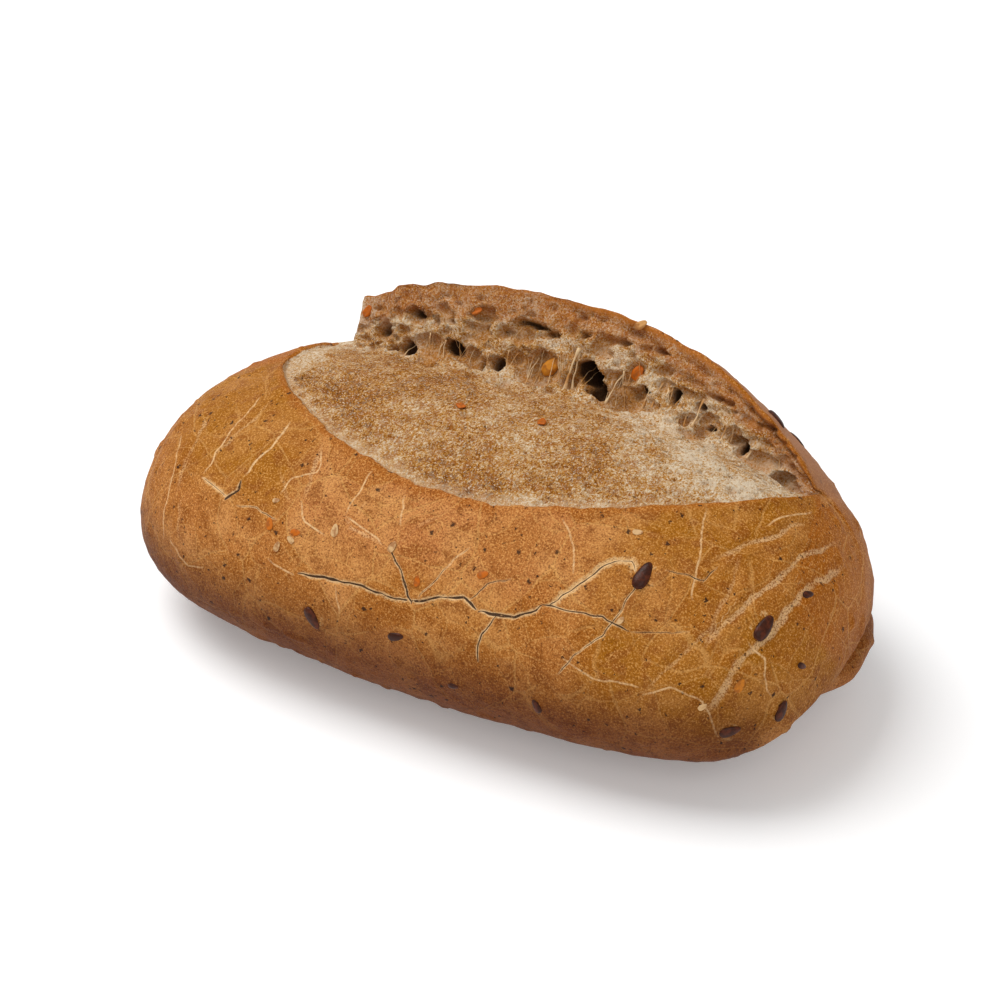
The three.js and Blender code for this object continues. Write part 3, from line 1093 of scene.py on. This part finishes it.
# %% Colour of the crust: each layer is a colour and how much of it lies over the ones before
far_edge = from_crest_mm.between(0.7, 2.0) * from_crest_mm.between(18, 7) * along_mm.between(-12, 8)
far_edge = far_edge * along_mm.between(60, 50) * height_mm.between(16, 30)
crust_colour = start.mix(shade(184, 114, 58), shade(160, 97, 0), gold).covered([
    ((210, 148, 84), broad.between(0.46, 0.66) * (0.65 - 0.4 * gold)),
    ((134, 68, 2), middle.between(0.48, 0.66) * 0.65),
    ((166, 88, 0), from_edge_mm.between(-3.0, -0.3) * (1 - crumb) * 0.8),
    ((162, 92, 8), plate_tone.between(0.5, 0.8) * 0.45),
    ((208, 142, 80), plate_tone.between(0.5, 0.2) * (0.34 - 0.24 * gold)),
    ((228, 186, 130), (pallor * (0.6 + 0.7 * dust)).between(0.2, 0.85) * 0.8),
    ((232, 196, 148), mark.between(0, 0.9) * 0.66),
    ((216, 160, 90), hair * 0.42),
    ((230, 170, 98), finest.between(0.52, 0.64) * 0.58),
    ((90, 42, 4), finest.between(0.48, 0.34) * (0.72 - 0.3 * gold)),
    ((120, 62, 10), fine.between(0.46, 0.34) * 0.3),
    ((46, 24, 14), bran * 0.9),
    ((232, 190, 138), lips * 0.95),
    ((58, 37, 25), crack * fine.between(0.25, 0.42) * 0.95),
    ((176, 124, 90), far_edge * 0.6),
])
# Darker towards the tray: partly the baked underside, partly painted shade.
tray_bake_and_shade = height_mm.between(28, 13.5) * (1 - 0.45 * along_mm.between(57, 62))
crust_colour = start.mix(crust_colour, shade(152, 132, 116), tray_bake_and_shade, "MULTIPLY")

# %% Colour of the crumb
torn = spot.vector_maths("MULTIPLY", (1, 0.8, 1))
torn_fine = torn.grains(0.46, 3, 0.8)
crumb_cells, grain_tone = torn.stirred(2.4, 2, 0.4).cells(0.25)
tone = grain_tone * 0.36 + torn_fine * 1.9 + finest * 0.6 + middle * 0.7 + broad * 0.8
tone = tone - 1.5 - toasted * 0.31
stops = [(0.08, shade(122, 68, 10)), (0.28, shade(174, 110, 28)), (0.45, shade(200, 146, 74)),
         (0.62, shade(206, 170, 126)), (0.85, shade(232, 212, 182))]
clumps = torn.grains(1.3, 3, 0.7).between(0.48, 0.62)
# Painted shade: grey patches of noise that stand for shade in small hollows of the crumb.
hollow_shade = torn.grains(0.8, 3, 0.7).between(0.48, 0.36)
top_band = from_crest_mm.between(-7.5, -5) * along_mm.between(-44, -40) * (fine * 0.6 + 0.25)
flour = from_edge_mm.between(4.0, 0.6) * fine.between(0.34, 0.56) * along_mm.between(50, 30)
crest_rim = from_crest_mm.between(-1.4, -0.5) * along_mm.between(-24, 8)
crumb_colour = start.make("ValToRGB", {"Fac": tone}, {"stops": stops}).covered([
    ((150, 90, 34), finest.between(0.45, 0.28) * (0.2 + 0.5 * toasted)),
    ((162, 98, 38), clumps * (0.15 + 0.55 * toasted)),
    # Painted shade in small hollows of the crumb.
    ((144, 114, 88), hollow_shade * (0.2 + 0.6 * broad.between(0.55, 0.4))),
    ((240, 222, 196), torn.grains(0.3, 2, 0.8).between(0.56, 0.66) * 0.75),
    # Painted shade: pits turn warm brown where shallow and near black where deep, by their depth.
    ((176, 112, 46), pit.between(0.05, 0.4) * 0.5),
    ((52, 32, 18), pit.between(0.4, 1.05) * 0.92),
    ((70, 46, 34), specks(1.4, 0.2, 0.3, 80) * 0.75),
    ((168, 92, 44), top_band * 0.7),
    ((224, 192, 156), flour * 0.42),
    ((180, 104, 32), crest_rim * 0.8),
])

# %% Height, roughness and the whole
edge_of_crumb = (crumb + (fine - 0.5) * 0.9 + (middle - 0.5) * 0.6).between(0.42, 0.58)
colour = start.mix(crust_colour, crumb_colour, edge_of_crumb)
crust_height = 0.2 * fine + 0.14 * finest + 0.2 * middle - 0.12 * crack + 0.06 * bran - 0.06 * hair
crumb_height = 0.45 * torn_fine + 0.18 * finest - 0.1 * crumb_cells
height = crust_height * (1 - edge_of_crumb) + crumb_height * edge_of_crumb
roughness = 0.55 + 0.14 * middle + 0.22 * edge_of_crumb
bumps = relief(height)
baked = close(Base_Color=colour, Roughness=roughness, Normal=bumps, Specular_IOR_Level=0.12)
roll.data.materials.append(baked)
print("nodes in the finish:", len(baked.node_tree.nodes))

# %% [markdown]
# ## Linseeds
# A linseed is a flat drop, round at one end and pointed at the other, about 5 mm long. The whole
# ones were pressed into the dough, so only their upper half shows. Each is the same surface of two
# angles, laid on the crust.


# %% Seeds laid on the crust
def surface_at(x, degrees):
    """The grid's point and normal nearest to a place on the crust."""
    row = int(np.abs(x_rows[:, 0] - x).argmin())
    columns = np.where(is_crumb[row] < 0.5)[0]
    apart = np.linalg.norm(base[row, columns] - crust_place(x, degrees), axis=1)
    nearest = columns[apart.argmin()]
    return surface[row, nearest], normal[row, nearest]


# %% A seed's shape
DROP_ROWS, DROP_COLUMNS = 11, 16


def drop(length, seed, slender=0.25, flat=0.5, crease=0.0):
    """A closed flat drop, from its turn t and its station s: its half width is sin(s) narrowed by 1
    - 0.22 cos(s) and times slender x length; flat is its thickness as a share of its width. A
    crease may run along its top."""
    stations = np.linspace(0, np.pi, DROP_ROWS + 2)[1:-1]
    turns = np.linspace(0, -2 * np.pi, DROP_COLUMNS, endpoint=False)
    s, t = np.meshgrid(stations, turns, indexing="ij")
    along = -np.cos(s) * length / 2
    wide = np.sin(s) ** 0.85 * (1 - 0.22 * np.cos(np.pi - s)) * length * slender
    body = np.stack([along, wide * np.cos(t), flat * wide * np.sin(t)], -1)
    ends = np.array([[-length / 2, 0, 0], [length / 2, 0, 0]])
    body = body + 0.05 * swell(body + 9 * seed, 1.2, seed)[..., None]
    body[..., 2] -= crease * np.exp(-((body[..., 1] / 0.3) ** 2)) * (body[..., 2] > 0)
    return np.concatenate([body.reshape(-1, 3), ends]), *closed_tube(DROP_ROWS, DROP_COLUMNS)


print("points of a drop:", len(drop(5.0, 0)[0]))


# %% Laying a shape on the crust, and joining shapes
def lay(shape, point, up, turn, sink):
    """Turns a shape whose flat side faces +Z so that it lies on the surface at the point, sunk by
    this depth."""
    length_way = np.array([1.0, 0, 0]) - up * up[0]
    length_way /= np.linalg.norm(length_way)
    side_way = np.cross(up, length_way)
    a = turn * DEGREE
    first = math.cos(a) * length_way + math.sin(a) * side_way
    second = np.cross(up, first)
    return point + shape @ np.stack([first, second, up]) - up * sink


def join(parts):
    """Several (points, quads, triangles) as one, the numbers of later parts moved up."""
    points, quads, caps = zip(*parts)
    before = np.cumsum([0] + [len(p) for p in points[:-1]])
    quads = [faces + n for faces, n in zip(quads, before)]
    caps = [faces + n for faces, n in zip(caps, before)]
    return np.concatenate(points), np.concatenate(quads), np.concatenate(caps)


print("a place on the crust:", surface_at(0, -60)[0].round(1))

# %% The seeds
FAR_SEEDS = 22
rng = np.random.default_rng(5)
far_seeds = rng.uniform((-56, 45, 3.0, 0), (56, 115, 5.2, 180), (FAR_SEEDS, 4)).tolist()
parts = []
for number, (x, degrees, length, turn) in enumerate(LINSEEDS + far_seeds):
    point, way = surface_at(x, degrees)
    shape, quads, caps = drop(length, number)
    parts.append((lay(shape, point, way, turn, 0.05), quads, caps))
linseeds = make_piece("linseeds", *join(parts))
print("linseeds:", len(parts))

# %% The seeds' skin
start, spot, close = new_finish("linseed_skin")
dull = spot.grains(0.9, 3).between(0.4, 0.75) * 0.7
husk = start.mix(shade(54, 22, 8), shade(102, 46, 22), dull)
roughness = 0.28 + 0.2 * spot.grains(0.5, 2)
height = 0.05 * spot.grains(0.4, 2)
skin = close(Base_Color=husk, Roughness=roughness, Normal=relief(height), Specular_IOR_Level=0.18)
linseeds.data.materials.append(skin)
print("nodes in the seeds' skin:", len(skin.node_tree.nodes))

# %% [markdown]
# ## Grains, husks and flakes
# A few grains of another kind sit in the dough: a yellow wheat kernel and reddish husks in the torn
# crumb, and thin pale or orange flakes on the crust. They use the linseed's drop, made plumper or
# flatter.

# %% Grains in the crumb
# Each has its place along the roll, its place on the crumb, length, turn, slenderness and redness.
GRAINS = [
    (-0.4, 1.27, 4.6, 52, 0.27, 0.0), (16.1, 1.48, 2.9, 70, 0.36, 1.0),
    (-8, 0.57, 2.5, 145, 0.3, 1.0), (7.4, 0.61, 2.0, 110, 0.38, 1.0),
    (-40, 1.75, 2.4, 60, 0.36, 0.9), (-17, 1.72, 2.2, 30, 0.36, 0.8),
    (14.5, 1.985, 2.4, 40, 0.3, -0.3),
]
# Flakes on the crust: place, angle from the top, length, turn, thickness share and redness.
FLAKES = [
    (56.6, -69, 2.4, 70, 0.1, 0.5), (-15, -55, 2.2, 100, 0.2, -1.0),
    (34, -29, 1.7, 20, 0.1, -1.0), (37, -56, 1.5, 60, 0.1, -1.0),
    (13, -56, 2.0, 30, 0.3, 0.8), (52, -80, 1.6, 40, 0.1, -0.6),
    (-26.8, -59, 2.2, 110, 0.2, 0.7), (-27.5, -51, 1.4, 20, 0.1, -1.0),
    (-24.6, -65, 1.8, 80, 0.1, -1.0), (-22.4, -62, 1.6, 150, 0.1, -1.0),
    (-22, -59, 1.9, 10, 0.2, 0.8), (-4.1, -55, 2.0, 70, 0.1, -1.0),
    (2, -63, 1.8, 100, 0.2, 1.0),
]
print("grains and flakes listed:", len(GRAINS), len(FLAKES))


# %% Laying the grains
def crumb_at(x, place_there):
    """The finished surface's point and normal at a place on the crumb."""
    row, strip = crumb_point(x, place_there)
    return surface[row, strip], normal[row, strip]


parts, redness = [], []
for number, (x, place_there, length, turn, slender, red) in enumerate(GRAINS):
    point, way = crumb_at(x, place_there)
    shape, quads, caps = drop(length, 40 + number, slender, 0.8 - 0.4 * red, 0.3)
    shape[:, 2] += 0.25 * red * swell(shape, 1.2, 44 + number)
    parts.append((lay(shape, point, way, turn, -0.35 + 0.05 * red), quads, caps))
    redness.append(np.full(len(shape), red))
for number, (x, degrees, length, turn, flat, red) in enumerate(FLAKES):
    point, way = surface_at(x, degrees)
    shape, quads, caps = drop(length, 60 + number, 0.3, flat)
    shape[:, 2] += 0.12 * (shape[:, 0] ** 2 + shape[:, 1] ** 2) / length
    parts.append((lay(shape, point, way, turn, -0.08), quads, caps))
    redness.append(np.full(len(shape), red))
grains = make_piece("grains_and_flakes", *join(parts))
remember(grains, "redness", np.concatenate(redness))
print("grains and flakes:", len(parts))

# %% The grains' skin
start, spot, close = new_finish("grain_skin")
red = kept("redness", 2)
grain_colour = start.mix(shade(208, 168, 118), shade(200, 128, 34), red.between(-0.6, 0)).covered([
    ((188, 94, 8), red.between(0.2, 0.9)),
    ((140, 78, 28), spot.grains(1.0, 3).between(0.45, 0.65) * 0.7),
])
roughness = 0.45 + 0.2 * spot.grains(0.5, 2)
height = 0.1 * spot.grains(0.5, 2)
bumps = relief(height)
skin = close(Base_Color=grain_colour, Roughness=roughness, Normal=bumps, Specular_IOR_Level=0.2)
grains.data.materials.append(skin)
print("nodes in the grains' skin:", len(skin.node_tree.nodes))

# %% [markdown]
# ## Threads of dough
# Where the ear tore away from the roll, the sticky dough drew out in threads across the bubbles at
# its foot. Each thread is a thin round tube from the wall down to the slope, thick at both ends and
# bowed a little outwards.

# %% Threads: place along the roll, lower and upper place on the crumb, lean, thickness
THREADS = [
    (3.6, 1.02, 1.55, 1.0, 0.42), (4.6, 1.05, 1.5, 0.2, 0.3), (11.8, 1.0, 1.4, 1.5, 0.26),
    (18.6, 1.05, 1.45, 0.8, 0.22), (20.4, 1.04, 1.5, 0.3, 0.26), (22.0, 1.05, 1.42, 0.4, 0.2),
    (24.2, 1.06, 1.46, 0.2, 0.28), (25.6, 1.05, 1.5, 0.5, 0.22), (27.0, 1.04, 1.45, -0.2, 0.2),
    (28.6, 1.05, 1.55, 0.3, 0.3), (34.2, 1.08, 1.4, 0.4, 0.25), (39.5, 1.05, 1.45, 0.5, 0.25),
]
LOOSE_THREADS = 60
THREAD_ROWS, THREAD_COLUMNS = 11, 7


# %% A thread's shape
def thread(low, high, way, bow_out, thick, seed):
    """A closed tube along the line from low to high, bowed out by bow·4s(1 - s); its radius is
    thick·(0.4 + 0.9|2s - 1|³)."""
    s = np.linspace(0, 1, THREAD_ROWS)[:, None]
    path = low + (high - low) * s + way * bow_out * 4 * s * (1 - s)
    shaken = np.stack([swell(path + 20 * k, 1.6, seed + k) for k in range(3)], -1)
    path = path + 0.25 * shaken * np.sin(np.pi * s)
    heading = (high - low) / np.linalg.norm(high - low)
    first = np.cross(heading, way)
    first /= np.linalg.norm(first)
    second = np.cross(heading, first)
    t = np.linspace(0, -2 * np.pi, THREAD_COLUMNS, endpoint=False)
    radius = thick * (0.4 + 0.9 * np.abs(2 * s - 1) ** 3)
    ring = radius[:, :, None] * (np.cos(t)[:, None] * first + np.sin(t)[:, None] * second)
    body = path[:, None, :] + ring
    points = np.concatenate([body.reshape(-1, 3), path[:1], path[-1:]])
    return points, *closed_tube(THREAD_ROWS, THREAD_COLUMNS)


# %% The threads
rng = np.random.default_rng(8)
feet = zip(rng.uniform(-34, 46, LOOSE_THREADS), rng.uniform(0.98, 1.3, LOOSE_THREADS))
loose = [(x, low, low + rng.uniform(0.15, 0.35), rng.normal(0, 0.8), rng.uniform(0.07, 0.17))
         for x, low in feet]
parts = []
for number, (x, low, high, lean, thick) in enumerate(THREADS + loose):
    start_point, way = crumb_at(x, low)
    end_point, other_way = crumb_at(x + lean, high)
    bow_out = 0.08 * np.linalg.norm(end_point - start_point)
    low_end, high_end = start_point - 0.2 * way, end_point - 0.2 * other_way
    parts.append(thread(low_end, high_end, way, bow_out, thick, 90 + number))
threads = make_piece("dough_threads", *join(parts))
print("threads:", len(parts))

# %% The threads' finish
start, spot, close = new_finish("drawn_dough")
dough = start.mix(shade(196, 140, 74), shade(222, 192, 148), spot.grains(2.0, 3).between(0.4, 0.62))
roughness = 0.6 + 0.15 * spot.grains(1.0, 2)
height = 0.1 * spot.grains(0.5, 2)
drawn = close(Base_Color=dough, Roughness=roughness, Normal=relief(height))
threads.data.materials.append(drawn)
print("nodes in the threads' finish:", len(drawn.node_tree.nodes))

# %% [markdown]
# ## The studio
# The roll stands on a wide pale floor. A large soft light high on the left gives the broad shading
# of the crust. A weaker one in front and the pale air all round fill the shadows.

# %% Floor
FLOOR = 6
FLOOR_GLOW = 0.2
floor_mesh = bpy.data.meshes.new("studio_floor")
corners = [(-FLOOR, -FLOOR, 0), (FLOOR, -FLOOR, 0), (FLOOR, FLOOR, 0), (-FLOOR, FLOOR, 0)]
floor_mesh.from_pydata(corners, [], [(0, 1, 2, 3)])
floor = bpy.data.objects.new("studio_floor", floor_mesh)
bpy.context.scene.collection.objects.link(floor)
start, spot, close = new_finish("pale_floor")
floor_tone = start.mix((0.92, 0.92, 0.92, 1), (0.9, 0.9, 0.9, 1), spot.grains(40, 2) * 0.2)
glow = {"Emission_Color": floor_tone, "Emission_Strength": FLOOR_GLOW}
floor_mesh.materials.append(close(Base_Color=floor_tone, Roughness=0.9, **glow))
print(f"the floor is {2 * FLOOR} m wide")

# %% Camera
CAMERA_AZIMUTH, CAMERA_ELEVATION = 28.8 * DEGREE, 33 * DEGREE
CAMERA_DISTANCE = 0.48234
CAMERA_TARGET = np.array([-0.00262, 0.00121, 0.02496])


def towards(azimuth, elevation):
    """The direction from the roll to a place at this azimuth from -Y and this height above the
    horizon."""
    flat = math.cos(elevation)
    return np.array([math.sin(azimuth) * flat, -math.cos(azimuth) * flat, math.sin(elevation)])


def aim(thing, place, target):
    """Puts a camera or a light at the place, with its -Z axis towards the target."""
    thing.location = Vector(place)
    thing.rotation_euler = (Vector(target) - Vector(place)).to_track_quat("-Z", "Y").to_euler()


camera_data = bpy.data.cameras.new("camera")
camera_data.lens = 100
camera_data.sensor_width = 36
camera_data.clip_end = 50
camera = bpy.data.objects.new("camera", camera_data)
bpy.context.scene.collection.objects.link(camera)
camera_place = CAMERA_TARGET + CAMERA_DISTANCE * towards(CAMERA_AZIMUTH, CAMERA_ELEVATION)
aim(camera, camera_place, CAMERA_TARGET)
bpy.context.scene.camera = camera
print(f"the camera stands {CAMERA_DISTANCE / MM:.0f} mm away")

# %% Lights and air
LIGHT_TARGET = np.array([0, 0, 0.025])
AIR_GLOW = 0.42


def softbox(name, azimuth, elevation, distance, size, power):
    """A square area light that looks at the roll's middle."""
    lamp = bpy.data.lights.new(name, "AREA")
    lamp.shape = "SQUARE"
    lamp.size = size
    lamp.energy = power
    light = bpy.data.objects.new(name, lamp)
    bpy.context.scene.collection.objects.link(light)
    place = LIGHT_TARGET + distance * towards(azimuth * DEGREE, elevation * DEGREE)
    aim(light, place, LIGHT_TARGET)


softbox("light_above", -80, 64, 1.2, 0.8, 11)
softbox("light_front", 40, 38, 1.4, 0.8, 3.5)
world = bpy.data.worlds.new("studio_air")
world.use_nodes = True
air = world.node_tree.nodes["Background"]
air.inputs["Color"].default_value = (1, 1, 1, 1)
air.inputs["Strength"].default_value = AIR_GLOW
bpy.context.scene.world = world
bpy.context.scene.view_settings.view_transform = "Standard"
print("lights:", [light.name for light in bpy.data.lights])

# %% [markdown]
# ## Handing over
# Every piece is told which body it rides on. The roll's fine mesh stands for the plain CAD solid.

# %% Bodies, and the CAD solid hidden
for piece, finish in ((roll, "crust"), (threads, "crumb"), (linseeds, "seed"), (grains, "grain")):
    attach(piece, "root")
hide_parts("bread_roll")
